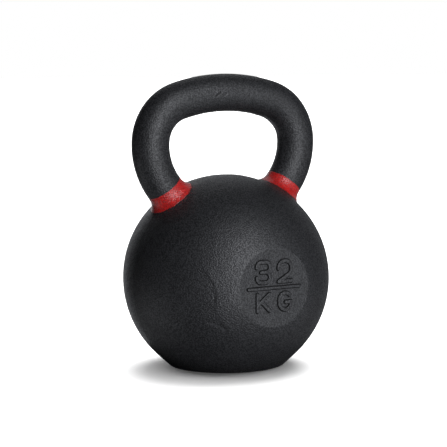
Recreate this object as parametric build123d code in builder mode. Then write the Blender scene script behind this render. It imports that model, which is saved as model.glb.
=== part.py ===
from build123d import *

import os
from math import asin, atan2, cos, degrees, hypot, radians, sin, sqrt, tan

# A cast-iron kettlebell: a ball with a flat resting face, a looped handle whose two legs leave
# the ball radially, a painted colour band round the foot of each leg, and a flat weight plate
# with a raised mass mark on the front and on the rear.
# Millimetres and degrees. The origin is the centre of the resting face, +Z is up, +X runs
# across the handle and -Y points out of the front weight plate.

# ---- Driving dimensions ------------------------------------------------------------------

# Ball
bell_diameter = 200
bell_centre = 84.6  # height of the ball's centre above the resting face
skirt_latitude = 47.4  # below this latitude the ball runs on as a straight cone
base_edge_radius = 4.5

# Handle centreline: four tangent stretches from the middle of the grip down to the ball
bar_diameter = 36
crown_radius = 174
crown_turn = 16.4
shoulder_radius = 42.25
shoulder_turn = 70.6
side_radius = 65.6
leg_angle = 36.2  # each leg points at the ball's centre, this far from vertical
root_fillet = 15
root_reach = 112  # distance from the ball's centre to the handle's two end faces

# Colour bands
band_thickness = 0.4
band_wrap = 49  # how far the band follows the root fillet

# Weight plates
plate_radius = 37
plate_thickness = 4

# Mass mark: raised strokes with round ends, measured on their centrelines
mark_relief = 1.0
stroke_width = 3.2
bar_length = 57
bar_width = 2.6
row_offset = 5.5  # from the plate's centre to the near edge of each row
glyph_offset = 11.5  # from the plate's centre to the middle of each glyph
numeral_width = 14
numeral_height = 19
letter_width = 12.5
letter_height = 15.5

# ---- Worked-out dimensions ---------------------------------------------------------------

bell_radius = bell_diameter / 2
bar_radius = bar_diameter / 2
bell_middle = Vector(0, 0, bell_centre)

skirt_top_radius = bell_radius * cos(radians(skirt_latitude))
skirt_top_height = bell_centre - bell_radius * sin(radians(skirt_latitude))
skirt_foot_radius = skirt_top_radius - skirt_top_height * tan(radians(skirt_latitude))

plate_distance = sqrt(bell_radius**2 - plate_radius**2)  # from the ball's centre to the plate's face
plate_floor = plate_distance - plate_thickness

# The grip's height is the one at which both leg centrelines meet at the ball's centre
side_turn = 90 + leg_angle - crown_turn - shoulder_turn
turn_1 = radians(crown_turn)
turn_2 = radians(crown_turn + shoulder_turn)
turn_3 = radians(90 + leg_angle)
side_end_reach = (
    crown_radius * sin(turn_1)
    + shoulder_radius * (sin(turn_2) - sin(turn_1))
    + side_radius * (sin(turn_3) - sin(turn_2))
)
side_end_drop = (
    crown_radius * (1 - cos(turn_1))
    + shoulder_radius * (cos(turn_1) - cos(turn_2))
    + side_radius * (cos(turn_2) - cos(turn_3))
)
crown_height = bell_centre + side_end_drop + side_end_reach / tan(radians(leg_angle))

# The root fillet touches the leg's cylinder and the ball. In a plane through the leg's axis,
# with x square to the axis and y along it from the ball's centre, this is the fillet's arc.
fillet_centre_x = bar_radius + root_fillet
fillet_centre_y = sqrt((bell_radius + root_fillet) ** 2 - fillet_centre_x**2)
fillet_turn = 90 - degrees(asin(fillet_centre_x / (bell_radius + root_fillet)))


def leg_plane(side):
    """The plane through one leg's axis, with its origin at the ball's centre and y up the leg."""
    x_dir = (cos(radians(leg_angle)), 0, -side * sin(radians(leg_angle)))
    return Plane(origin=bell_middle, x_dir=x_dir, z_dir=(0, -1, 0))


def leg_axis(side):
    return Axis(bell_middle, leg_plane(side).y_dir)


def plate_plane(face, distance):
    """A plane square to Y: face is -1 on the front and 1 on the rear, seen from outside."""
    return Plane(
        origin=(0, face * distance, bell_centre),
        x_dir=(-face, 0, 0),
        z_dir=(0, face, 0),
    )


os.makedirs("parts", exist_ok=True)

# ---- Bell: the ball, its resting face, the two leg roots and the two plate seats ----------

with BuildPart() as bell:
    with BuildSketch(Plane.XZ):
        with BuildLine():
            Line((0, bell_centre + bell_radius), (0, 0))
            base_flat = Line((0, 0), (skirt_foot_radius, 0))
            skirt = Line(base_flat @ 1, (skirt_top_radius, skirt_top_height))
            ThreePointArc(skirt @ 1, (bell_radius, bell_centre), (0, bell_centre + bell_radius))
        ball_section = make_face()
        base_corner = ball_section.vertices().group_by(Axis.Z)[0].sort_by(Axis.X)[-1]
        fillet(base_corner, radius=base_edge_radius)
    revolve(axis=Axis.Z)
    for side in (-1, 1):
        with BuildSketch(leg_plane(side)):
            with BuildLine():
                core = Line((0, bell_radius / 2), (0, root_reach))
                rim = Line(core @ 1, (bar_radius, root_reach))
                wall = Line(rim @ 1, (bar_radius, fillet_centre_y))
                flare = JernArc(wall @ 1, tangent=(0, -1), radius=root_fillet, arc_size=fillet_turn)
                Line(flare @ 1, core @ 0)
            make_face()
        revolve(axis=leg_axis(side))
    for face in (-1, 1):
        with BuildSketch(plate_plane(face, plate_floor)):
            Circle(plate_radius)
        extrude(amount=bell_radius, mode=Mode.SUBTRACT)
bell.part.label = "bell"
export_step(bell.part, "parts/bell.step")

# ---- Handle: one round bar swept along its centreline -------------------------------------

with BuildPart() as handle:
    with BuildLine(Plane.XZ) as centreline:
        crown = JernArc((0, crown_height), tangent=(1, 0), radius=crown_radius, arc_size=-crown_turn)
        shoulder = JernArc(crown @ 1, tangent=crown % 1, radius=shoulder_radius, arc_size=-shoulder_turn)
        bend = JernArc(shoulder @ 1, tangent=shoulder % 1, radius=side_radius, arc_size=-side_turn)
        leg_end_x = root_reach * sin(radians(leg_angle))
        leg_end_z = bell_centre + root_reach * cos(radians(leg_angle))
        Line(bend @ 1, (leg_end_x, leg_end_z))
        mirror(about=Plane.YZ)
    with BuildSketch(Plane(origin=centreline.wire() @ 0, z_dir=centreline.wire() % 0)):
        Circle(bar_radius)
    sweep(path=centreline.wire())
handle.part.label = "handle"
export_step(handle.part, "parts/handle.step")

# ---- Colour bands: a coat round each leg's foot that follows the root fillet --------------

for side, side_name in ((-1, "left"), (1, "right")):
    with BuildPart() as band:
        with BuildSketch(leg_plane(side)):
            with BuildLine():
                inner_wall = Line((bar_radius, root_reach), (bar_radius, fillet_centre_y))
                inner_flare = JernArc(
                    inner_wall @ 1, tangent=(0, -1), radius=root_fillet, arc_size=band_wrap
                )
                outer_wall = Line(
                    (bar_radius + band_thickness, root_reach),
                    (bar_radius + band_thickness, fillet_centre_y),
                )
                outer_flare = JernArc(
                    outer_wall @ 1,
                    tangent=(0, -1),
                    radius=root_fillet - band_thickness,
                    arc_size=band_wrap,
                )
                Line(inner_wall @ 0, outer_wall @ 0)
                Line(inner_flare @ 1, outer_flare @ 1)
            make_face()
        revolve(axis=leg_axis(side))
    band.part.label = f"{side_name}_band"
    export_step(band.part, f"parts/{side_name}_band.step")

# ---- Weight plates: round flats set flush into the ball -----------------------------------

for face, face_name in ((-1, "front"), (1, "rear")):
    with BuildPart() as weight_plate:
        with BuildSketch(plate_plane(face, plate_floor)):
            Circle(plate_radius)
        extrude(amount=plate_thickness)
    weight_plate.part.label = f"{face_name}_weight_plate"
    export_step(weight_plate.part, f"parts/{face_name}_weight_plate.step")

# ---- Mass mark: the number over a dividing bar, and the unit below it ---------------------


def add_stroke(path):
    """Thickens a centreline into a round-ended stroke in the open sketch."""
    SlotArc(path.wire(), height=stroke_width)


def add_three(left, foot):
    """A 3: a bowl over a bowl, each a half circle with a straight run to the left."""
    bowl = numeral_height / 4
    right = left + numeral_width - bowl
    top = foot + numeral_height
    middle = foot + numeral_height / 2
    with BuildLine(mode=Mode.PRIVATE) as upper:
        upper_lip = JernArc((left, top - bowl), tangent=(0, 1), radius=bowl, arc_size=-90)
        upper_run = Line(upper_lip @ 1, (right, top))
        upper_bowl = JernArc(upper_run @ 1, tangent=(1, 0), radius=bowl, arc_size=-180)
        Line(upper_bowl @ 1, (left + numeral_width / 3, middle))
    add_stroke(upper)
    with BuildLine(mode=Mode.PRIVATE) as lower:
        lower_lip = JernArc((left, foot + bowl), tangent=(0, -1), radius=bowl, arc_size=90)
        lower_run = Line(lower_lip @ 1, (right, foot))
        lower_bowl = JernArc(lower_run @ 1, tangent=(1, 0), radius=bowl, arc_size=180)
        Line(lower_bowl @ 1, (left + numeral_width / 3, middle))
    add_stroke(lower)


def add_two(left, foot):
    """A 2: a half-circle head, a neck tangent to it, and a straight foot."""
    head = numeral_width / 2
    head_x = head
    head_y = numeral_height - head
    head_distance = hypot(head_x, head_y)
    neck_angle = atan2(head_y, head_x) - asin(head / head_distance)
    neck_length = sqrt(head_distance**2 - head**2)
    neck_top = (left + neck_length * cos(neck_angle), foot + neck_length * sin(neck_angle))
    with BuildLine(mode=Mode.PRIVATE) as crook:
        ThreePointArc((left, foot + head_y), (left + head, foot + numeral_height), neck_top)
        Line(neck_top, (left, foot))
    add_stroke(crook)
    with BuildLine(mode=Mode.PRIVATE) as sole:
        Line((left, foot), (left + numeral_width, foot))
    add_stroke(sole)


def add_k(left, foot):
    """A K: a stem, an arm that rises to the right, and a leg that falls from it."""
    right = left + letter_width
    top = foot + letter_height
    arm_foot = (left, foot + 0.36 * letter_height)
    arm_top = (right, top)
    knee = Vector(arm_foot) + (Vector(arm_top) - Vector(arm_foot)) * 0.32
    for start, end in (((left, foot), (left, top)), (arm_foot, arm_top), (knee, (right, foot))):
        with BuildLine(mode=Mode.PRIVATE) as limb:
            Line(start, end)
        add_stroke(limb)


def add_g(left, foot):
    """A G: two round ends joined by a straight back, with an upright and a tongue."""
    bend = letter_width / 2
    right = left + letter_width
    mouth = 40  # how far round the upper end the stroke begins
    tongue_height = foot + 0.45 * letter_height
    with BuildLine(mode=Mode.PRIVATE) as bow:
        over_centre = (left + bend, foot + letter_height - bend)
        over = CenterArc(over_centre, radius=bend, start_angle=mouth, arc_size=180 - mouth)
        back = Line(over @ 1, (left, foot + bend))
        under = JernArc(back @ 1, tangent=(0, -1), radius=bend, arc_size=180)
        Line(under @ 1, (right, tongue_height))
    add_stroke(bow)
    with BuildLine(mode=Mode.PRIVATE) as tongue:
        Line((right, tongue_height), (left + 0.55 * letter_width, tongue_height))
    add_stroke(tongue)


for face, face_name in ((-1, "front"), (1, "rear")):
    with BuildPart() as numerals:
        with BuildSketch(plate_plane(face, plate_distance)):
            add_three(-glyph_offset - numeral_width / 2, row_offset)
            add_two(glyph_offset - numeral_width / 2, row_offset)
        extrude(amount=mark_relief)
    numerals.part.label = f"{face_name}_mass_numerals"
    export_step(numerals.part, f"parts/{face_name}_mass_numerals.step")

    with BuildPart() as divider_bar:
        with BuildSketch(plate_plane(face, plate_distance)):
            SlotOverall(bar_length, bar_width)
        extrude(amount=mark_relief)
    divider_bar.part.label = f"{face_name}_divider_bar"
    export_step(divider_bar.part, f"parts/{face_name}_divider_bar.step")

    with BuildPart() as unit_letters:
        with BuildSketch(plate_plane(face, plate_distance)):
            add_k(-glyph_offset - letter_width / 2, -row_offset - letter_height)
            add_g(glyph_offset - letter_width / 2, -row_offset - letter_height)
        extrude(amount=mark_relief)
    unit_letters.part.label = f"{face_name}_unit_letters"
    export_step(unit_letters.part, f"parts/{face_name}_unit_letters.step")

print(f"grip centreline height {crown_height:.2f}, overall height {crown_height + bar_radius:.2f}")
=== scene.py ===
from math import asin, atan2, ceil, cos, pi, radians, sin, sqrt, tan

import bpy
import numpy as np
from mathutils import Matrix, Vector, noise
from mathutils.geometry import tessellate_polygon
from mathutils.kdtree import KDTree


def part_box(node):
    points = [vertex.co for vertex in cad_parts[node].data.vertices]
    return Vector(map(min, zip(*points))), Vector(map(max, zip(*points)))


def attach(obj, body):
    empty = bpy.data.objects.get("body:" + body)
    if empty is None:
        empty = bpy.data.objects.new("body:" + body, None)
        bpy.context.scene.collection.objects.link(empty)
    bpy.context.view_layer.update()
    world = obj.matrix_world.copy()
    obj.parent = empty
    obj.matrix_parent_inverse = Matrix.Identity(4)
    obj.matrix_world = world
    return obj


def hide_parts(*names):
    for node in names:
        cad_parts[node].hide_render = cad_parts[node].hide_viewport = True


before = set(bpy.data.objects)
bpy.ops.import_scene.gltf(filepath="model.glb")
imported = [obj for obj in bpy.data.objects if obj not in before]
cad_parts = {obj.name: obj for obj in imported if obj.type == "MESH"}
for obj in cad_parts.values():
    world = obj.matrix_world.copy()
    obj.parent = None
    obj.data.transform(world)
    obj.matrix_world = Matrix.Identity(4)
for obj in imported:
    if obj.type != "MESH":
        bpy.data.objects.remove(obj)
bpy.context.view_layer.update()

MM = 0.001

# ---- The kettlebell's own dimensions, in metres and degrees, as in the CAD model ----------
# The resting face, the plates, the ball's centre and radius and the bar's radius come from
# the frame.

bell_low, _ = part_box("bell")
plate_low, plate_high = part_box("front_weight_plate")
_, handle_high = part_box("handle")

PLATE_RADIUS = (plate_high.x - plate_low.x) / 2
PLATE_THICKNESS = plate_high.y - plate_low.y
PLATE_DISTANCE = -plate_low.y
BALL_CENTRE = Vector((0, 0, (plate_low.z + plate_high.z) / 2))
BALL_RADIUS = sqrt(PLATE_RADIUS**2 + PLATE_DISTANCE**2)
BAR_RADIUS = handle_high.y

SKIRT_LATITUDE = 47.4
BASE_EDGE_RADIUS = 4.5 * MM
CROWN_RADIUS = 174 * MM
CROWN_TURN = 16.4
SHOULDER_RADIUS = 42.25 * MM
SHOULDER_TURN = 70.6
SIDE_RADIUS = 65.6 * MM
LEG_ANGLE = 36.2
ROOT_FILLET = 15 * MM
ROOT_REACH = 112 * MM
BAND_WRAP = 49

# ---- Camera ------------------------------------------------------------------------------

CAMERA_AZIMUTH = -28.56
CAMERA_ELEVATION = 5.55
CAMERA_ROLL = -0.6
CAMERA_DISTANCE = 1.575
CAMERA_LENS = 130.87
CAMERA_CLIP = (0.1, 50)
SENSOR_WIDTH = 36
AIM_HEIGHT = 0.1368
AIM_ASIDE = -0.0018


def view_axes(azimuth, elevation):
    """Unit vectors to the right, up and back towards the eye, for a view direction in degrees."""
    a, e = radians(azimuth), radians(elevation)
    back = Vector((sin(a) * cos(e), -cos(a) * cos(e), sin(e)))
    right = Vector((cos(a), sin(a), 0))
    return right, back.cross(right), back


def make_camera():
    right, up, back = view_axes(CAMERA_AZIMUTH, CAMERA_ELEVATION)
    roll = radians(CAMERA_ROLL)
    rolled_right = right * cos(roll) + up * sin(roll)
    rolled_up = up * cos(roll) - right * sin(roll)
    data = bpy.data.cameras.new("camera")
    data.lens = CAMERA_LENS
    data.sensor_width = SENSOR_WIDTH
    data.clip_start, data.clip_end = CAMERA_CLIP
    camera = bpy.data.objects.new("camera", data)
    bpy.context.scene.collection.objects.link(camera)
    aim = Vector((0, 0, AIM_HEIGHT)) + right * AIM_ASIDE
    turn = Matrix((rolled_right, rolled_up, back)).transposed().to_4x4()
    camera.matrix_world = Matrix.Translation(aim + back * CAMERA_DISTANCE) @ turn
    bpy.context.scene.camera = camera


make_camera()

# ---- Cast relief: how far the iron's skin stands off the true shape ------------------------

# A layer of smooth noise is its wavelength, its height and the number of its own pattern.
RELIEF_LAYERS = (
    (48 * MM, 0.16 * MM, 1),
    (13 * MM, 0.03 * MM, 2),
    (3.4 * MM, 0.045 * MM, 3),
)
PATTERN_SHIFT = Vector((17.3, 5.9, 11.7))


def waves(points, layers):
    """The sum of the layers' noise at each point, each from about minus to plus its height."""
    total = np.zeros(len(points))
    for wavelength, height, pattern in layers:
        offset = PATTERN_SHIFT * pattern
        total += height * np.array([noise.noise(Vector(p) / wavelength + offset) for p in points])
    return total


def cast_relief(points):
    return waves(points, RELIEF_LAYERS)


def distance_to(path, points):
    """Each point's distance from the nearest point of a closely spaced path."""
    tree = KDTree(len(path))
    for index, place in enumerate(path):
        tree.insert(place, index)
    tree.balance()
    return np.array([tree.find(point)[2] for point in points])


def straight_run(start, finish, step):
    """Points about one step apart on the line between two places."""
    share = np.linspace(0, 1, ceil(np.linalg.norm(finish - start) / step) + 1)[:, None]
    return start + (finish - start) * share


def bell_curve(distance, width):
    return np.exp(-((distance / width) ** 2))


# ---- Mesh helpers ------------------------------------------------------------------------


def grid_quads(rows, columns, closed):
    """Quads between neighbouring rows of a grid of points; closed joins each row into a ring."""
    last = columns if closed else columns - 1
    row = np.arange(rows - 1)[:, None] * columns
    start = np.arange(last)[None, :]
    end = (start + 1) % columns
    quads = np.stack([row + start, row + end, row + end + columns, row + start + columns], axis=-1)
    return quads.reshape(-1, 4)


def grid_normals(points, closed):
    """Unit normals of a grid of points, shaped rows by columns by 3."""
    if closed:
        across = np.roll(points, -1, axis=1) - np.roll(points, 1, axis=1)
    else:
        across = np.gradient(points, axis=1)
    down = np.gradient(points, axis=0)
    normals = np.cross(across, down)
    length = np.linalg.norm(normals, axis=-1, keepdims=True)
    return normals / np.maximum(length, 1e-12)


def make_piece(name, points, faces, material, slot, sharp_rings=(), **marks):
    """A smooth-shaded mesh piece that rides on the casting's one body.

    Each of marks is a value from 0 to 1 at each point, which the material reads by its name.
    """
    mesh = bpy.data.meshes.new(name)
    mesh.from_pydata(points.tolist(), [], faces)
    mesh.polygons.foreach_set("use_smooth", [True] * len(mesh.polygons))
    if sharp_rings:
        ring_of = {}
        for number, ring in enumerate(sharp_rings):
            for vertex in ring:
                ring_of[int(vertex)] = number
        for edge in mesh.edges:
            a, b = edge.vertices
            if a in ring_of and ring_of.get(b) == ring_of[a]:
                edge.use_edge_sharp = True
    for mark, values in marks.items():
        layer = mesh.attributes.new(mark, "FLOAT", "POINT")
        layer.data.foreach_set("value", np.asarray(values, dtype=float))
    mesh.materials.append(material)
    mesh.update()
    piece = bpy.data.objects.new(name, mesh)
    bpy.context.scene.collection.objects.link(piece)
    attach(piece, "root")
    return piece


# ---- Materials ---------------------------------------------------------------------------


class NodeTree:
    """A short way to write a material's node tree."""

    def __init__(self, name):
        self.material = bpy.data.materials.new(name)
        self.material.use_nodes = True
        self.nodes = self.material.node_tree.nodes
        self.links = self.material.node_tree.links
        self.nodes.clear()
        self.shader = self.add("ShaderNodeBsdfPrincipled")
        output = self.add("ShaderNodeOutputMaterial")
        self.links.new(self.shader.outputs[0], output.inputs["Surface"])
        self.place = self.add("ShaderNodeTexCoord").outputs["Object"]

    def add(self, kind, **settings):
        node = self.nodes.new(kind)
        for key, value in settings.items():
            setattr(node, key, value)
        return node

    def feed(self, socket, value):
        """Sets a socket, or links it if the value is another node's output."""
        if isinstance(value, bpy.types.NodeSocket):
            self.links.new(value, socket)
        else:
            socket.default_value = value

    def noise(self, wavelength, detail):
        """Noise around 0.5, with features about one wavelength apart."""
        node = self.add("ShaderNodeTexNoise")
        self.links.new(self.place, node.inputs["Vector"])
        node.inputs["Scale"].default_value = 1 / wavelength
        node.inputs["Detail"].default_value = detail
        return node.outputs["Fac"]

    def math(self, operation, a, b):
        node = self.add("ShaderNodeMath", operation=operation)
        self.feed(node.inputs[0], a)
        self.feed(node.inputs[1], b)
        return node.outputs[0]

    def remap(self, value, low, high, to_low, to_high):
        """Maps low..high of a value to to_low..to_high, clamped."""
        node = self.add("ShaderNodeMapRange")
        for socket, number in zip(node.inputs[:5], (value, low, high, to_low, to_high)):
            self.feed(socket, number)
        return node.outputs[0]

    def mix(self, factor, a, b):
        node = self.add("ShaderNodeMix", data_type="RGBA")
        self.feed(node.inputs["Factor"], factor)
        self.feed(node.inputs["A"], a)
        self.feed(node.inputs["B"], b)
        return node.outputs["Result"]

    def attribute(self, name):
        return self.add("ShaderNodeAttribute", attribute_name=name).outputs["Fac"]

    def bump(self, height, distance, below=None):
        node = self.add("ShaderNodeBump")
        node.inputs["Strength"].default_value = 1.0
        node.inputs["Distance"].default_value = distance
        self.feed(node.inputs["Height"], height)
        if below is not None:
            self.links.new(below, node.inputs["Normal"])
        return node.outputs["Normal"]


# The pit and peak colours are the coat's own black with painted shade in the grain's pits and painted light
# on its peaks.
SHADED_PIT_COLOUR = (0.0010, 0.0012, 0.0020, 1)
LIT_PEAK_COLOUR = (0.0268, 0.0272, 0.0290, 1)
PAINTED_SHADE_COLOUR = (0.0008, 0.0008, 0.001, 1)
GROUND_COLOUR = (0.22, 0.22, 0.23, 1)
OVERSPRAY_COLOUR = (0.17, 0.007, 0.007, 1)
# The red pit and peak colours are the enamel's own red with painted shade in the pits and painted light on
# the peaks; the edge colour is painted shade along the band's foot.
RED_SHADED_PIT_COLOUR = (0.24, 0.008, 0.008, 1)
RED_LIT_PEAK_COLOUR = (0.47, 0.018, 0.016, 1)
RED_EDGE_SHADE_COLOUR = (0.05, 0.003, 0.003, 1)

GRAIN_SIZE = 1.15 * MM
GRAIN_DETAIL = 0.5
GRAIN_HEIGHT = 0.42 * MM
RED_GRAIN_HEIGHT = 0.52 * MM
ORANGE_PEEL_SIZE = 3.2 * MM
ORANGE_PEEL_HEIGHT = 0.10 * MM
MOTTLE_SIZE = 12 * MM
MOTTLE = 0.02  # how far the mottle moves the skin's noise, each way
RED_MOTTLE_SIZE = 7 * MM
RED_MOTTLE = 0.05
SPECK_SIZE = 1.3 * MM

# Where noise, which is around 0.5, turns from one look to the other.
NOISE_SPAN = (0.3, 0.7)
PIT_TO_PEAK = (0.39, 0.63)
RED_PIT_TO_PEAK = (0.32, 0.60)
RED_EDGE_SPAN = (0.35, 0.6)
SPECK_SPAN = (0.58, 0.63)

# From the pits to the peaks.
ROUGHNESS = (0.60, 0.42)
RED_ROUGHNESS = (0.36, 0.24)
RED_EDGE_STRENGTH = (1, 0.35)
COAT_IOR = 1.5


def coat_skin(tree, mottle_size, mottle):
    """The grain's noise, and that noise with a broad mottle added, for colour and gloss."""
    grain = tree.noise(GRAIN_SIZE, GRAIN_DETAIL)
    broad = tree.remap(tree.noise(mottle_size, 2), *NOISE_SPAN, -mottle, mottle)
    return grain, tree.math("ADD", grain, broad)


def pebbled_normal(tree, grain, height):
    """Fine grain on a coarser orange peel, the skin that a powder coat leaves on cast iron."""
    peel = tree.bump(tree.noise(ORANGE_PEEL_SIZE, 1), ORANGE_PEEL_HEIGHT)
    return tree.bump(grain, height, below=peel)


def powder_coat():
    """Matt black powder coat: smoother on its peaks and dull in its pits. Its colour is lighter
    on the peaks as painted light and darker in the pits as painted shade.
    """
    tree = NodeTree("black_powder_coat")
    grain, skin = coat_skin(tree, MOTTLE_SIZE, MOTTLE)
    colour = tree.mix(tree.remap(skin, *PIT_TO_PEAK, 0, 1), SHADED_PIT_COLOUR, LIT_PEAK_COLOUR)
    colour = tree.mix(tree.attribute("ground"), colour, GROUND_COLOUR)
    speck = tree.remap(tree.noise(SPECK_SIZE, 1), *SPECK_SPAN, 0, 1)
    speck = tree.math("MULTIPLY", speck, tree.attribute("overspray"))
    colour = tree.mix(speck, colour, OVERSPRAY_COLOUR)
    # This attribute paints shade: it turns the colour near-black in grooves, nicks, the moat, the strokes'
    # lower sides, beside the parting line and just outside the bands, and makes them rough.
    crease = tree.attribute("crease")
    rough = tree.remap(skin, *NOISE_SPAN, *ROUGHNESS)
    tree.feed(tree.shader.inputs["Base Color"], tree.mix(crease, colour, PAINTED_SHADE_COLOUR))
    tree.feed(tree.shader.inputs["Roughness"], tree.math("MAXIMUM", rough, crease))
    tree.feed(tree.shader.inputs["Normal"], pebbled_normal(tree, grain, GRAIN_HEIGHT))
    tree.shader.inputs["IOR"].default_value = COAT_IOR
    return tree.material


def red_paint():
    """Satin red enamel sprayed over the pebbled powder coat, with painted shade darkening its pits
    and its foot and painted light on its peaks.
    """
    tree = NodeTree("red_enamel")
    grain, skin = coat_skin(tree, RED_MOTTLE_SIZE, RED_MOTTLE)
    colour = tree.mix(tree.remap(skin, *RED_PIT_TO_PEAK, 0, 1), RED_SHADED_PIT_COLOUR, RED_LIT_PEAK_COLOUR)
    # The painted shade at the band's foot is patchier on the grain's peaks.
    edge_shade_by_grain = tree.remap(skin, *RED_EDGE_SPAN, *RED_EDGE_STRENGTH)
    edge = tree.math("MULTIPLY", tree.attribute("edge"), edge_shade_by_grain)
    tree.feed(tree.shader.inputs["Base Color"], tree.mix(edge, colour, RED_EDGE_SHADE_COLOUR))
    tree.feed(tree.shader.inputs["Roughness"], tree.remap(skin, *NOISE_SPAN, *RED_ROUGHNESS))
    tree.feed(tree.shader.inputs["Normal"], pebbled_normal(tree, grain, RED_GRAIN_HEIGHT))
    tree.shader.inputs["IOR"].default_value = COAT_IOR
    return tree.material


black = powder_coat()
red = red_paint()

# ---- Bell --------------------------------------------------------------------------------
# The ball's skin is one distance from its centre in each direction. The grid's poles are the
# two weight plates, so its first and last rings are the plates' rims.

PLATE_ANGLE = asin(PLATE_RADIUS / BALL_RADIUS)
FOOT_X = BAR_RADIUS + ROOT_FILLET
FOOT_Y = sqrt((BALL_RADIUS + ROOT_FILLET) ** 2 - FOOT_X**2)
FOOT_ANGLE = asin(FOOT_X / (BALL_RADIUS + ROOT_FILLET))
CREASE_SOFTNESS = 0.08 * MM
STUB_START = radians(8)  # how far round the fillet the stub starts, under the enamel

# Points along the profiles of the bell's foot and of a leg's root.
FLAT_POINTS = 30
EDGE_POINTS = 12
SKIRT_POINTS = 20
STUB_POINTS = 12
FILLET_POINTS = 60


def skirt_profile():
    """Angle from straight down, and distance from the ball's centre, out to the skirt's top."""
    skirt = radians(SKIRT_LATITUDE)
    top_x, top_y = BALL_RADIUS * cos(skirt), BALL_CENTRE.z - BALL_RADIUS * sin(skirt)
    corner_x = top_x - top_y * tan(skirt)
    turn = pi / 2 - skirt
    flat_x = corner_x - BASE_EDGE_RADIUS * tan(turn / 2)
    arc = np.linspace(0, turn, EDGE_POINTS)
    flat = np.linspace(0, flat_x, FLAT_POINTS)
    x = np.concatenate([flat, flat_x + BASE_EDGE_RADIUS * np.sin(arc[1:])])
    y = np.concatenate([np.zeros(FLAT_POINTS), BASE_EDGE_RADIUS * (1 - np.cos(arc[1:]))])
    along = np.linspace(0, 1, SKIRT_POINTS)[1:]
    x = np.append(x, x[-1] + (top_x - x[-1]) * along)
    y = np.append(y, y[-1] + (top_y - y[-1]) * along)
    drop = BALL_CENTRE.z - y
    return np.arctan2(x, drop), np.hypot(x, drop)


def root_profile():
    """Angle from a leg's axis, and distance from the ball's centre, out to the fillet's foot."""
    arc = np.linspace(STUB_START, pi / 2 - FOOT_ANGLE, FILLET_POINTS)
    arc_x, arc_y = FOOT_X - ROOT_FILLET * np.cos(arc), FOOT_Y - ROOT_FILLET * np.sin(arc)
    x = np.concatenate([np.linspace(0, arc_x[0], STUB_POINTS)[:-1], arc_x])
    y = np.concatenate([np.full(STUB_POINTS - 1, arc_y[0]), arc_y])
    return np.arctan2(x, y), np.hypot(x, y)


def leg_direction(side):
    return np.array([side * sin(radians(LEG_ANGLE)), 0, cos(radians(LEG_ANGLE))])


def skin_distance(directions):
    """The iron's distance from the ball's centre along each unit direction."""
    distance = np.full(len(directions), BALL_RADIUS)
    angle, reach = skirt_profile()
    from_below = np.arccos(np.clip(-directions[:, 2], -1, 1))
    under = from_below < angle[-1]
    distance[under] = np.interp(from_below[under], angle, reach)
    angle, reach = root_profile()
    for side in (-1, 1):
        from_leg = np.arccos(np.clip(directions @ leg_direction(side), -1, 1))
        near = from_leg < angle[-1]
        distance[near] = np.interp(from_leg[near], angle, reach)
    flat = PLATE_DISTANCE / np.maximum(np.abs(directions[:, 1]), 1e-6)
    return -CREASE_SOFTNESS * np.logaddexp(-distance / CREASE_SOFTNESS, -flat / CREASE_SOFTNESS)


def on_skin(directions):
    return np.array(BALL_CENTRE) + directions * skin_distance(directions)[:, None]


BELL_COLUMNS = 500
BELL_ROWS = 189
PARTING_HEIGHT = 0.14 * MM
PARTING_SHADE = 0.35

# A cold shut, where two flows of iron met, runs down the ball's left. Its ends are a longitude
# from the front and a latitude, in degrees, and it sways from side to side between them. It is
# a groove beside a low step, with a line of painted shade along the groove, and fades by turns.
SHUT_TOP = (-41, 11)
SHUT_FOOT = (-28, -22)
SHUT_SWAY = 2.6
SHUT_WANDER = (5 * MM, 0.5 * MM, 10)  # noise layers
SHUT_FADE = (6 * MM, 2.2, 8)
SHUT_SHOWN = 0.35  # how much of the shut shows, on average
SHUT_DEPTH = 0.24 * MM
SHUT_WIDTH = 0.95 * MM
SHUT_STEP = 0.22 * MM
SHUT_STEP_WIDTH = 6 * MM
# The shut's line of painted shade is this share of the groove's width.
SHUT_LINE_WIDTH = 0.8  # of the groove's width
JUST_INSIDE = 0.999  # keeps the ball's top point within the arcsine's range

# A shallow scrape that crosses the foot of the cold shut, and a scuff low on the right. Each
# runs between two ends and bows away from a straight line, upward if the bow is positive.
SCRAPE_ENDS = (-40, -17.5), (-29.5, -22)
SCRAPE_BOW = 1
SCUFF_ENDS = (24, -33.5), (31, -37)
SCUFF_BOW = -1
SCRAPE_DEPTH = 0.18 * MM
SCRAPE_WIDTH = 0.9 * MM
SCRAPE_BARE = 0.08
LINE_POINTS = 160

BAND_EDGE_X = FOOT_X - ROOT_FILLET * cos(radians(BAND_WRAP))
BAND_EDGE_ANGLE = atan2(BAND_EDGE_X, FOOT_Y - ROOT_FILLET * sin(radians(BAND_WRAP)))
OVERSPRAY_REACH = radians(1.6)
BAND_SHADOW = 0.7
BAND_SHADOW_WIDTH = radians(0.5)


def ball_line(start, finish, bow=0, sway=0):
    """Longitudes and latitudes, in degrees, of a line across the ball between two ends."""
    share = np.linspace(0, 1, LINE_POINTS)
    longitude = start[0] + (finish[0] - start[0]) * share + sway * np.sin(2 * pi * share)
    latitude = start[1] + (finish[1] - start[1]) * share + bow * np.sin(pi * share)
    return longitude, latitude


def on_ball(line):
    """Points on the ball at a line's longitudes and latitudes."""
    across, up = np.radians(line)
    out = np.stack([np.sin(across) * np.cos(up), -np.cos(across) * np.cos(up), np.sin(up)], axis=-1)
    return np.array(BALL_CENTRE) + BALL_RADIUS * out


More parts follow.
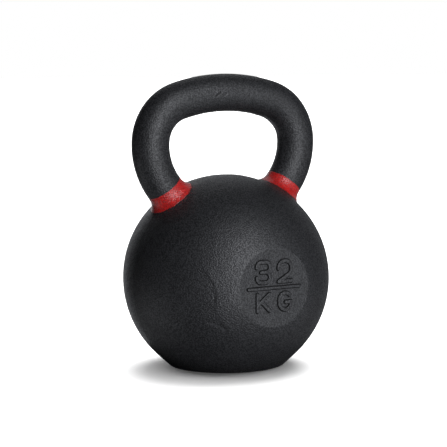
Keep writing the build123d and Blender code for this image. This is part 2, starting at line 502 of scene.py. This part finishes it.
def ball_marks(points):
    """Height changes, creases of painted shade and bare metal that the casting's flaws leave
    on the ball.
    """
    shut_line = ball_line(SHUT_TOP, SHUT_FOOT, sway=SHUT_SWAY)
    shut = distance_to(on_ball(shut_line), points) + waves(points, [SHUT_WANDER])
    fade = np.clip(SHUT_SHOWN + waves(points, [SHUT_FADE]), 0, 1)
    longitude = np.degrees(np.arctan2(points[:, 0], -points[:, 1]))
    latitude = np.degrees(np.arcsin((points[:, 2] - BALL_CENTRE.z) / BALL_RADIUS * JUST_INSIDE))
    right_of = longitude > np.interp(latitude, shut_line[1][::-1], shut_line[0][::-1])
    height = -SHUT_DEPTH * fade * bell_curve(shut, SHUT_WIDTH)
    height += np.where(right_of, SHUT_STEP * bell_curve(shut, SHUT_STEP_WIDTH), 0)
    # Painted shade along the shut's groove, where its fade lets it show.
    crease = fade * bell_curve(shut, SHUT_WIDTH * SHUT_LINE_WIDTH)
    scrape_line = on_ball(ball_line(*SCRAPE_ENDS, bow=SCRAPE_BOW))
    scuff_line = on_ball(ball_line(*SCUFF_ENDS, bow=SCUFF_BOW))
    scrape = np.minimum(distance_to(scrape_line, points), distance_to(scuff_line, points))
    height -= SCRAPE_DEPTH * bell_curve(scrape, SCRAPE_WIDTH)
    return height, crease, SCRAPE_BARE * bell_curve(scrape, SCRAPE_WIDTH)


def leg_marks(directions):
    """How much red overspray and edge shadow each direction has, just outside the bands."""
    overspray, shadow = np.zeros(len(directions)), np.zeros(len(directions))
    for side in (-1, 1):
        angle = np.arccos(np.clip(directions @ leg_direction(side), -1, 1)) - BAND_EDGE_ANGLE
        outside = angle > 0
        overspray = np.maximum(overspray, np.where(outside, np.exp(-angle / OVERSPRAY_REACH), 1))
        shadow = np.maximum(shadow, bell_curve(angle, BAND_SHADOW_WIDTH))
    return overspray, shadow


def make_bell():
    turn = np.linspace(0, 2 * pi, BELL_COLUMNS, endpoint=False)
    tilt = np.linspace(PLATE_ANGLE, pi - PLATE_ANGLE, BELL_ROWS)
    turn, tilt = np.meshgrid(turn, tilt)
    directions = np.stack([np.sin(tilt) * np.cos(turn), -np.cos(tilt), np.sin(tilt) * np.sin(turn)], axis=-1)
    flat_directions = directions.reshape(-1, 3)
    points = on_skin(flat_directions).reshape(BELL_ROWS, BELL_COLUMNS, 3)
    normals = grid_normals(points, closed=True)
    normals *= np.sign((normals * directions).sum(-1))[..., None]
    flat_points = points.reshape(-1, 3)
    height, crease, ground = ball_marks(flat_points)
    height += cast_relief(flat_points)
    overspray, shadow = leg_marks(flat_directions)
    crease = np.maximum(crease, BAND_SHADOW * shadow)
    parting = (BELL_ROWS // 2) * BELL_COLUMNS + np.arange(BELL_COLUMNS)
    height[parting] += PARTING_HEIGHT
    crease[parting + BELL_COLUMNS] = np.maximum(crease[parting + BELL_COLUMNS], PARTING_SHADE)
    points = points + normals * height.reshape(BELL_ROWS, BELL_COLUMNS, 1)
    points[..., 2] = np.maximum(points[..., 2], bell_low.z)
    points = points.reshape(-1, 3)
    faces = grid_quads(BELL_ROWS, BELL_COLUMNS, closed=True)[:, ::-1].tolist()
    rings = []
    for first, face in ((0, -1), ((BELL_ROWS - 1) * BELL_COLUMNS, 1)):
        rim = np.arange(first, first + BELL_COLUMNS)
        floor = points[rim].copy()
        floor[:, 1] = face * (PLATE_DISTANCE - PLATE_THICKNESS)
        seat = np.arange(len(points), len(points) + BELL_COLUMNS)
        points = np.vstack([points, floor])
        following = np.roll(rim, -1), np.roll(seat, -1)
        wall = np.stack([rim, seat, following[1], following[0]], axis=-1)
        if face < 0:
            wall = wall[:, ::-1]
        faces += wall.tolist()
        faces.append(seat[::-1].tolist() if face > 0 else seat.tolist())
        rings += [rim, seat]
    hidden = np.zeros(len(points) - len(crease))
    marks = {"crease": crease, "ground": ground, "overspray": overspray}
    marks = {name: np.concatenate([values, hidden]) for name, values in marks.items()}
    piece = make_piece("bell_casting", points, faces, black, "black_iron", rings, **marks)
    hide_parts("bell")


make_bell()

# ---- Handle ------------------------------------------------------------------------------

HANDLE_ROWS = 480
HANDLE_COLUMNS = 190

# Nicks in the bar, two by its crown and one low on the right. Each has two ends, given by the
# distance along the bar from the crown and the angle round it from the outside, where -90
# degrees is the front.
NICKS = (
    ((-18.5 * MM, -97), (-12.5 * MM, -87)),
    ((-10 * MM, -99), (-6.5 * MM, -92)),
    ((127 * MM, -88), (131 * MM, -68)),
)
NICK_DEPTHS = [0.55 * MM, 0.28 * MM, 0.30 * MM]
NICK_WIDTH = 0.75 * MM
NICK_LIP = 0.35  # height of the burr beside a nick, as a share of its depth
NICK_LIP_PLACE = 2  # from the nick's middle to the burr, in nick widths
NICK_STEP = 0.15 * MM

# A fin of iron squeezed out between the two halves of the mould, filed down on the inside of
# the bar. It is at its highest at the window's right corner, and lower at its left.
FLASH_HEIGHT = 1.2 * MM
FLASH_TURN = radians(168)  # round the bar from its outside, so a little to the rear
FLASH_WIDTH = radians(20)
FLASH_EDGE_WIDTH = radians(8)
FLASH_MIDDLE = 66 * MM
FLASH_LENGTH = 26 * MM
FLASH_ON_LEFT = 0.25
FLASH_RAGGED = (6 * MM, 0.3, 9)  # a noise layer
HANDLE_OVERLAP = 8 * MM  # how far the bar runs on inside the ball's stubs


def bar_arcs():
    """The half bar's arcs from the crown: each one's start, radius, and first and last heading."""
    turns = np.radians([CROWN_TURN, CROWN_TURN + SHOULDER_TURN, 90 + LEG_ANGLE])
    start, place, arcs = 0.0, np.zeros(2), []
    for radius, finish in zip((CROWN_RADIUS, SHOULDER_RADIUS, SIDE_RADIUS), turns):
        arcs.append((place, radius, start, finish))
        place = place + radius * np.array([sin(finish) - sin(start), cos(finish) - cos(start)])
        start = finish
    return arcs, place


BAR_ARCS, BAR_END = bar_arcs()
CROWN_HEIGHT = BALL_CENTRE.z - BAR_END[1] + BAR_END[0] / tan(radians(LEG_ANGLE))
BAR_REACH = sqrt(BAR_END[0] ** 2 + (BAR_END[1] + CROWN_HEIGHT - BALL_CENTRE.z) ** 2)
CURVED_LENGTH = sum(radius * (finish - start) for _, radius, start, finish in BAR_ARCS)


def on_bar(travel):
    """The bar's middle and its outward direction at a distance along it from the crown."""
    left = abs(travel)
    for place, radius, start, finish in BAR_ARCS:
        heading = min(start + left / radius, finish)
        place = place + radius * np.array([sin(heading) - sin(start), cos(heading) - cos(start)])
        left -= radius * (heading - start)
        if heading < finish:
            break
    place = place + np.array([cos(heading), -sin(heading)]) * left
    side = -1 if travel < 0 else 1
    middle = np.array([side * place[0], 0, CROWN_HEIGHT + place[1]])
    return middle, np.array([side * sin(heading), 0, cos(heading)])


def bar_surface(travel, turn):
    """A point on the bar's true surface, with the turn round it in degrees."""
    middle, outward = on_bar(travel)
    return middle + BAR_RADIUS * (cos(radians(turn)) * outward + sin(radians(turn)) * np.array([0, 1, 0]))


def bar_marks(points):
    """Height changes, and painted shade in their grooves, that the nicks leave on the bar."""
    height, crease = np.zeros(len(points)), np.zeros(len(points))
    for (start, finish), depth in zip(NICKS, NICK_DEPTHS):
        path = straight_run(bar_surface(*start), bar_surface(*finish), NICK_STEP)
        distance = distance_to(path, points)
        height -= depth * bell_curve(distance, NICK_WIDTH)
        burr = distance - NICK_LIP_PLACE * NICK_WIDTH
        height += depth * NICK_LIP * bell_curve(burr, NICK_WIDTH)
        crease = np.maximum(crease, depth / NICK_DEPTHS[0] * bell_curve(distance, NICK_WIDTH))
    return height, crease


def make_handle():
    half = CURVED_LENGTH + BAR_REACH - ROOT_REACH + HANDLE_OVERLAP
    travel = np.linspace(-half, half, HANDLE_ROWS)
    middle, outward = (np.array(values) for values in zip(*map(on_bar, travel)))
    around = np.linspace(0, 2 * pi, HANDLE_COLUMNS, endpoint=False)
    sideways = np.array([0, 1, 0])
    normals = np.cos(around)[None, :, None] * outward[:, None] + np.sin(around)[None, :, None] * sideways
    points = (middle[:, None] + normals * BAR_RADIUS).reshape(-1, 3)
    height, crease = bar_marks(points)
    height = (height + cast_relief(points)).reshape(HANDLE_ROWS, HANDLE_COLUMNS)
    reach = bell_curve(travel - FLASH_MIDDLE, FLASH_LENGTH)
    reach = reach + FLASH_ON_LEFT * bell_curve(travel + FLASH_MIDDLE, FLASH_LENGTH)
    flash = reach[:, None] * bell_curve(around - FLASH_TURN, FLASH_WIDTH)[None]
    ragged = 1 + waves(points, [FLASH_RAGGED]).reshape(HANDLE_ROWS, HANDLE_COLUMNS)
    flash = np.clip(flash * ragged, 0, 1)
    points = points + (normals * (height + FLASH_HEIGHT * flash)[..., None]).reshape(-1, 3)
    ground = flash * bell_curve(around - pi, FLASH_EDGE_WIDTH)[None]
    faces = grid_quads(HANDLE_ROWS, HANDLE_COLUMNS, closed=True)[:, ::-1].tolist()
    first = np.arange(HANDLE_COLUMNS)
    last = first + (HANDLE_ROWS - 1) * HANDLE_COLUMNS
    faces += [first.tolist(), last[::-1].tolist()]
    marks = {"crease": crease, "ground": ground.ravel()}
    piece = make_piece("handle_bar", points, faces, black, "black_iron", [first, last], **marks)
    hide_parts("handle")


make_handle()

# ---- Colour bands ------------------------------------------------------------------------

BAND_COAT = 0.12 * MM
BAND_ROWS = 46
BAND_COLUMNS = 360
BAND_EDGE_WIDTH = 1.6 * MM
BAND_FEATHER = 14  # how many times wider the band is than its feathered edge
BAND_SUNK = 2  # how deep the enamel's inner face lies, in coats
RAGGED_TOP = ((7 * MM, 0.35 * MM, 4), (1.6 * MM, 0.25 * MM, 5))  # noise layers
RAGGED_FOOT = ((9 * MM, 0.6 * MM, 6), (1.8 * MM, 0.5 * MM, 7))


def make_band(side, name):
    """A coat of enamel from the leg's foot down the root fillet, feathered at both edges."""
    turn = np.linspace(0, 2 * pi, BAND_COLUMNS, endpoint=False)
    axis = leg_direction(side)
    out = np.array([cos(radians(LEG_ANGLE)) * side, 0, -sin(radians(LEG_ANGLE))])
    front = np.array([0, 1, 0])
    spokes = np.cos(turn)[:, None] * out + np.sin(turn)[:, None] * front
    wall = ROOT_REACH - FOOT_Y
    run = wall + ROOT_FILLET * radians(BAND_WRAP)
    rim = np.array(BALL_CENTRE) + axis * ROOT_REACH + spokes * BAR_RADIUS
    ragged_top, ragged_foot = waves(rim, RAGGED_TOP), waves(rim, RAGGED_FOOT)
    share = np.linspace(0, 1, BAND_ROWS)[:, None]
    travel = ragged_top[None] + (run + ragged_foot - ragged_top)[None] * share
    bend = np.maximum(travel - wall, 0) / ROOT_FILLET
    x = FOOT_X - ROOT_FILLET * np.cos(bend)
    y = np.where(travel < wall, ROOT_REACH - travel, FOOT_Y - ROOT_FILLET * np.sin(bend))
    normal_x, normal_y = np.cos(bend), np.sin(bend)
    skin = np.array(BALL_CENTRE) + x[..., None] * spokes[None] + y[..., None] * axis
    normals = normal_x[..., None] * spokes[None] + normal_y[..., None] * axis
    relief = cast_relief(skin.reshape(-1, 3)).reshape(BAND_ROWS, BAND_COLUMNS, 1)
    feather = np.sqrt(np.clip(np.minimum(share, 1 - share) * BAND_FEATHER, 0, 1))[..., None]
    outer = skin + normals * (relief + BAND_COAT * feather)
    inner = skin + normals * (relief - BAND_COAT * BAND_SUNK)
    points = np.vstack([outer.reshape(-1, 3), inner.reshape(-1, 3)])
    quads = grid_quads(BAND_ROWS, BAND_COLUMNS, closed=True)
    behind = BAND_ROWS * BAND_COLUMNS
    start = np.arange(BAND_COLUMNS)
    joins = []
    for row, flip in ((0, False), (BAND_ROWS - 1, True)):
        a = row * BAND_COLUMNS + start
        b = row * BAND_COLUMNS + np.roll(start, -1)
        join = np.stack([a, b, b + behind, a + behind], axis=-1)
        joins.append(join[:, ::-1] if flip else join)
    faces = np.vstack([quads[:, ::-1], quads + behind, *joins])
    if side < 0:
        faces = faces[:, ::-1]
    # Painted shade along the band's foot, strongest at its lower edge and fading over the edge width.
    edge = np.clip(1 - (1 - share) * run / BAND_EDGE_WIDTH, 0, 1) ** 2
    edge = np.broadcast_to(edge, travel.shape)
    edge = np.concatenate([edge.ravel(), np.ones(edge.size)])
    piece = make_piece(f"{name}_band_enamel", points, faces.tolist(), red, "red_paint", edge=edge)
    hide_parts(f"{name}_band")


for side, name in ((-1, "left"), (1, "right")):
    make_band(side, name)

# ---- Mass mark outlines, read from the CAD nodes -------------------------------------------

MICROMETRES = 1e6  # in a metre; points that round to the same one are merged
TOP_DEPTH = 0.1 * MM  # how near the highest point a face's corners are, if it is a top face


def mark_outlines(node, face, step):
    """Each raised stroke's closed outline on the plate, as points (across, up), counter-clockwise."""
    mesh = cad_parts[node].data
    points = np.array([v.co for v in mesh.vertices])
    keys = {}
    rounded = [tuple(np.round(p * MICROMETRES).astype(int)) for p in points]
    merged = np.array([keys.setdefault(place, len(keys)) for place in rounded])
    places = np.array(list(keys)) / MICROMETRES
    top = np.abs(places[:, 1]) > np.abs(places[:, 1]).max() - TOP_DEPTH
    counts = {}
    for polygon in mesh.polygons:
        corners = [int(merged[v]) for v in polygon.vertices]
        if all(top[corners]):
            for a, b in zip(corners, corners[1:] + corners[:1]):
                counts[(a, b)] = counts.get((a, b), 0) + 1
    border = {a: b for (a, b) in counts if (b, a) not in counts}
    loops = []
    while border:
        start, point = border.popitem()
        chain = [start]
        while point != start:
            chain.append(point)
            point = border.pop(point)
        loop = np.stack([places[chain][:, 0] * -face, places[chain][:, 2] - BALL_CENTRE.z], axis=-1)
        loops.append(resample(loop, step))
    return loops


def resample(loop, step):
    """The closed loop with evenly spaced points about one step apart."""
    closed = np.vstack([loop, loop[:1]])
    length = np.concatenate([[0], np.cumsum(np.linalg.norm(np.diff(closed, axis=0), axis=1))])
    count = ceil(length[-1] / step)
    at = np.linspace(0, length[-1], count, endpoint=False)
    loop = np.stack([np.interp(at, length, closed[:, i]) for i in (0, 1)], axis=-1)
    area = (loop[:, 0] * np.roll(loop[:, 1], -1) - loop[:, 1] * np.roll(loop[:, 0], -1)).sum()
    return loop if area > 0 else loop[::-1]


OUTLINE_STEP = 0.2 * MM
MARK_NODES = ("mass_numerals", "divider_bar", "unit_letters")
FACES = ((-1, "front"), (1, "rear"))
outlines = {
    (face_name, node): mark_outlines(f"{face_name}_{node}", face, OUTLINE_STEP)
    for face, face_name in FACES
    for node in MARK_NODES
}

# ---- Weight plates -----------------------------------------------------------------------

PLATE_CELLS = 286
MOAT_DEPTH = 0.5 * MM
MOAT_WIDTH = 1.1 * MM
MOAT_SHADE = 1.6


def square_to_disc(u, v):
    """Maps the square from -1 to 1 onto the unit disc with little stretch."""
    wide = np.abs(u) >= np.abs(v)
    safe_u, safe_v = np.where(u == 0, 1, u), np.where(v == 0, 1, v)
    angle = np.where(wide, pi / 4 * v / safe_u, pi / 2 - pi / 4 * u / safe_v)
    radius = np.where(wide, u, v)
    return radius * np.cos(angle), radius * np.sin(angle)


def make_plate(face, name):
    line = np.linspace(-1, 1, PLATE_CELLS)
    x, z = square_to_disc(*np.meshgrid(line, line))
    x, z = x.ravel() * PLATE_RADIUS, z.ravel() * PLATE_RADIUS
    directions = np.stack([-face * x, np.full_like(x, face * PLATE_DISTANCE), z], axis=-1)
    directions /= np.linalg.norm(directions, axis=1)[:, None]
    points = on_skin(directions)
    points[:, 1] += face * cast_relief(points)
    outline = np.vstack([loop for node in MARK_NODES for loop in outlines[name, node]])
    tree = KDTree(len(outline))
    for index, (across, up) in enumerate(outline):
        tree.insert((across, up, 0), index)
    tree.balance()
    distance = np.array([tree.find((a, b, 0))[2] for a, b in zip(x, z)])
    moat = np.clip(1 - distance / MOAT_WIDTH, 0, 1)
    moat = moat * moat * (3 - 2 * moat)
    points[:, 1] -= face * MOAT_DEPTH * moat
    quads = grid_quads(PLATE_CELLS, PLATE_CELLS, closed=False)
    index = np.arange(PLATE_CELLS * PLATE_CELLS).reshape(PLATE_CELLS, PLATE_CELLS)
    rim = np.concatenate([index[0, :-1], index[:-1, -1], index[-1, :0:-1], index[:0:-1, 0]])
    back = points[rim].copy()
    back[:, 1] = face * (PLATE_DISTANCE - PLATE_THICKNESS)
    under = np.arange(len(points), len(points) + len(rim))
    points = np.vstack([points, back])
    wall = np.stack([rim, under, np.roll(under, -1), np.roll(rim, -1)], axis=-1)
    faces = quads.tolist() + wall.tolist() + [under[::-1].tolist()]
    crease = np.concatenate([np.clip(MOAT_SHADE * moat, 0, 1), np.zeros(len(rim))])
    piece = make_piece(f"{name}_plate_face", points, faces, black, "black_iron", [rim, under], crease=crease)
    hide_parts(f"{name}_weight_plate")


for face, face_name in FACES:
    make_plate(face, face_name)

# ---- Raised characters -------------------------------------------------------------------

MARK_RELIEF = 1.0 * MM
SHOULDER = 0.5 * MM
SHOULDER_RINGS = 5
MARK_DRAFT = 0.15 * MM  # how far a stroke's foot spreads past its outline
MARK_SUNK = 0.1 * MM  # and how far it goes on below the moat


def make_mark(face, face_name, node):
    """Raised strokes with drafted sides and rounded shoulders."""
    stations = [(-MARK_DRAFT, -MOAT_DEPTH - MARK_SUNK), (0, MARK_RELIEF - SHOULDER)]
    for bend in np.linspace(0, pi / 2, SHOULDER_RINGS)[1:]:
        stations.append((SHOULDER * (1 - cos(bend)), MARK_RELIEF - SHOULDER * (1 - sin(bend))))
    points, faces, crease = [], [], []
    for loop in outlines[face_name, node]:
        ahead, behind = np.roll(loop, -1, axis=0), np.roll(loop, 1, axis=0)
        tangent = ahead - behind
        tangent /= np.linalg.norm(tangent, axis=1)[:, None]
        inward = np.stack([-tangent[:, 1], tangent[:, 0]], axis=-1)
        count = len(loop)
        first = len(points)
        for inset, height in stations:
            # The lower half of each stroke's side is marked for painted shade.
            crease += [float(height < MARK_RELIEF - SHOULDER / 2)] * count
            for across, up in loop + inward * inset:
                points.append((-face * across, face * (PLATE_DISTANCE + height), BALL_CENTRE.z + up))
        for ring in range(len(stations) - 1):
            low = first + ring * count + np.arange(count)
            high = low + count
            faces += np.stack([low, np.roll(low, -1), np.roll(high, -1), high], axis=-1).tolist()
        cap = first + (len(stations) - 1) * count
        outline = [Vector((*p, 0)) for p in loop + inward * stations[-1][0]]
        faces += [[cap + i for i in corner] for corner in tessellate_polygon([outline])]
        faces.append([first + i for i in range(count)][::-1])
    points = np.array(points)
    points[:, 1] += face * cast_relief(points)
    piece = make_piece(f"{face_name}_{node}_cast", points, faces, black, "black_iron", crease=crease)
    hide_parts(f"{face_name}_{node}")


for face, face_name in FACES:
    for node in MARK_NODES:
        make_mark(face, face_name, node)

# ---- Studio ------------------------------------------------------------------------------
# The floor shows only to the camera and has a light of its own. The ball stands on a small
# dark card, which keeps the low bounce lights off its foot.

FLOOR_RADIUS = 40.0
FLOOR_TONE = 0.9
CARD_RADIUS = 0.105
CARD_DROP = 1 * MM
CARD_TONE = 0.12
FLOOR_GLOW = 0.06  # light from all round, which the ball's shadow keeps
STAGE_SIDES = 96


def make_stage(name, radius, height, tone):
    turn = np.linspace(0, 2 * pi, STAGE_SIDES, endpoint=False)
    rim = np.stack([radius * np.cos(turn), radius * np.sin(turn), np.full(STAGE_SIDES, height)], axis=-1)
    mesh = bpy.data.meshes.new(name)
    mesh.from_pydata(rim.tolist(), [], [list(range(STAGE_SIDES))])
    tree = NodeTree(f"{name}_matt")
    tree.shader.inputs["Base Color"].default_value = (tone, tone, tone, 1)
    tree.shader.inputs["Roughness"].default_value = 1.0
    tree.shader.inputs["Specular IOR Level"].default_value = 0.0
    mesh.materials.append(tree.material)
    stage = bpy.data.objects.new(name, mesh)
    bpy.context.scene.collection.objects.link(stage)
    return stage


floor = make_stage("floor", FLOOR_RADIUS, 0, FLOOR_TONE)
floor_shader = floor.data.materials[0].node_tree.nodes["Principled BSDF"]
floor_shader.inputs["Emission Color"].default_value = (1, 1, 1, 1)
floor_shader.inputs["Emission Strength"].default_value = FLOOR_GLOW
floor.visible_diffuse = False
floor.visible_glossy = False
floor.visible_shadow = False
card = make_stage("card", CARD_RADIUS, -CARD_DROP, CARD_TONE)
card.visible_camera = False

floor_only = bpy.data.collections.new("floor_only")
floor_only.objects.link(floor)
all_but_floor = bpy.data.collections.new("all_but_floor")
all_but_floor.objects.link(floor)
all_but_floor.collection_objects[0].light_linking.link_state = "EXCLUDE"

COOL_WHITE = (0.960, 0.982, 1.03)
LIGHT_DISTANCE = 1.6
WORLD_LIGHT = 0.02


def aim_light(light, azimuth, elevation):
    """Puts a light round the ball, facing it, at an azimuth counted from the camera's own."""
    right, up, back = view_axes(CAMERA_AZIMUTH + azimuth, elevation)
    turn = Matrix((right, up, back)).transposed().to_4x4()
    light.matrix_world = Matrix.Translation(BALL_CENTRE + back * LIGHT_DISTANCE) @ turn


def softbox(name, azimuth, elevation, width, height, power):
    data = bpy.data.lights.new(name, "AREA")
    data.shape = "RECTANGLE"
    data.size = width
    data.size_y = height
    data.energy = power
    data.color = COOL_WHITE
    light = bpy.data.objects.new(name, data)
    bpy.context.scene.collection.objects.link(light)
    aim_light(light, azimuth, elevation)
    light.visible_camera = False
    light.light_linking.receiver_collection = all_but_floor


def floor_light(azimuth, elevation, spread, strength):
    """A broad sun that lights the floor alone, for a soft shadow round the foot."""
    data = bpy.data.lights.new("floor_sun", "SUN")
    data.angle = radians(spread)
    data.energy = strength
    light = bpy.data.objects.new("floor_sun", data)
    bpy.context.scene.collection.objects.link(light)
    aim_light(light, azimuth, elevation)
    light.light_linking.receiver_collection = floor_only


softbox("key", azimuth=26, elevation=15, width=1.0, height=1.75, power=22)
softbox("key_top", azimuth=30, elevation=36, width=0.7, height=0.7, power=5.6)
softbox("side", azimuth=76, elevation=0, width=0.6, height=1.2, power=1.8)
softbox("front_bounce", azimuth=22, elevation=-16, width=0.8, height=0.5, power=6.5)
softbox("left_bounce", azimuth=-90, elevation=-28, width=1.6, height=0.7, power=2.8)
softbox("right_bounce", azimuth=90, elevation=-28, width=1.2, height=0.7, power=2.3)
softbox("right_rim", azimuth=160, elevation=0, width=1.2, height=1.6, power=2.2)
softbox("left_rim", azimuth=-162, elevation=0, width=1.0, height=1.6, power=5.8)
softbox("top_rim", azimuth=180, elevation=45, width=1.2, height=0.8, power=2.2)
floor_light(azimuth=165, elevation=60, spread=50, strength=5.2)
floor_light(azimuth=165, elevation=60, spread=130, strength=4.2)


def make_world():
    """White behind everything, with next to no light from it on the object."""
    world = bpy.data.worlds.new("studio")
    bpy.context.scene.world = world
    world.use_nodes = True
    nodes, links = world.node_tree.nodes, world.node_tree.links
    nodes.clear()
    seen = nodes.new("ShaderNodeBackground")
    seen.inputs["Color"].default_value = (1, 1, 1, 1)
    lit = nodes.new("ShaderNodeBackground")
    lit.inputs["Color"].default_value = (*COOL_WHITE, 1)
    lit.inputs["Strength"].default_value = WORLD_LIGHT
    path = nodes.new("ShaderNodeLightPath")
    mix = nodes.new("ShaderNodeMixShader")
    output = nodes.new("ShaderNodeOutputWorld")
    links.new(path.outputs["Is Camera Ray"], mix.inputs["Fac"])
    links.new(lit.outputs[0], mix.inputs[1])
    links.new(seen.outputs[0], mix.inputs[2])
    links.new(mix.outputs[0], output.inputs["Surface"])


make_world()
bpy.context.scene.view_settings.view_transform = "Standard"
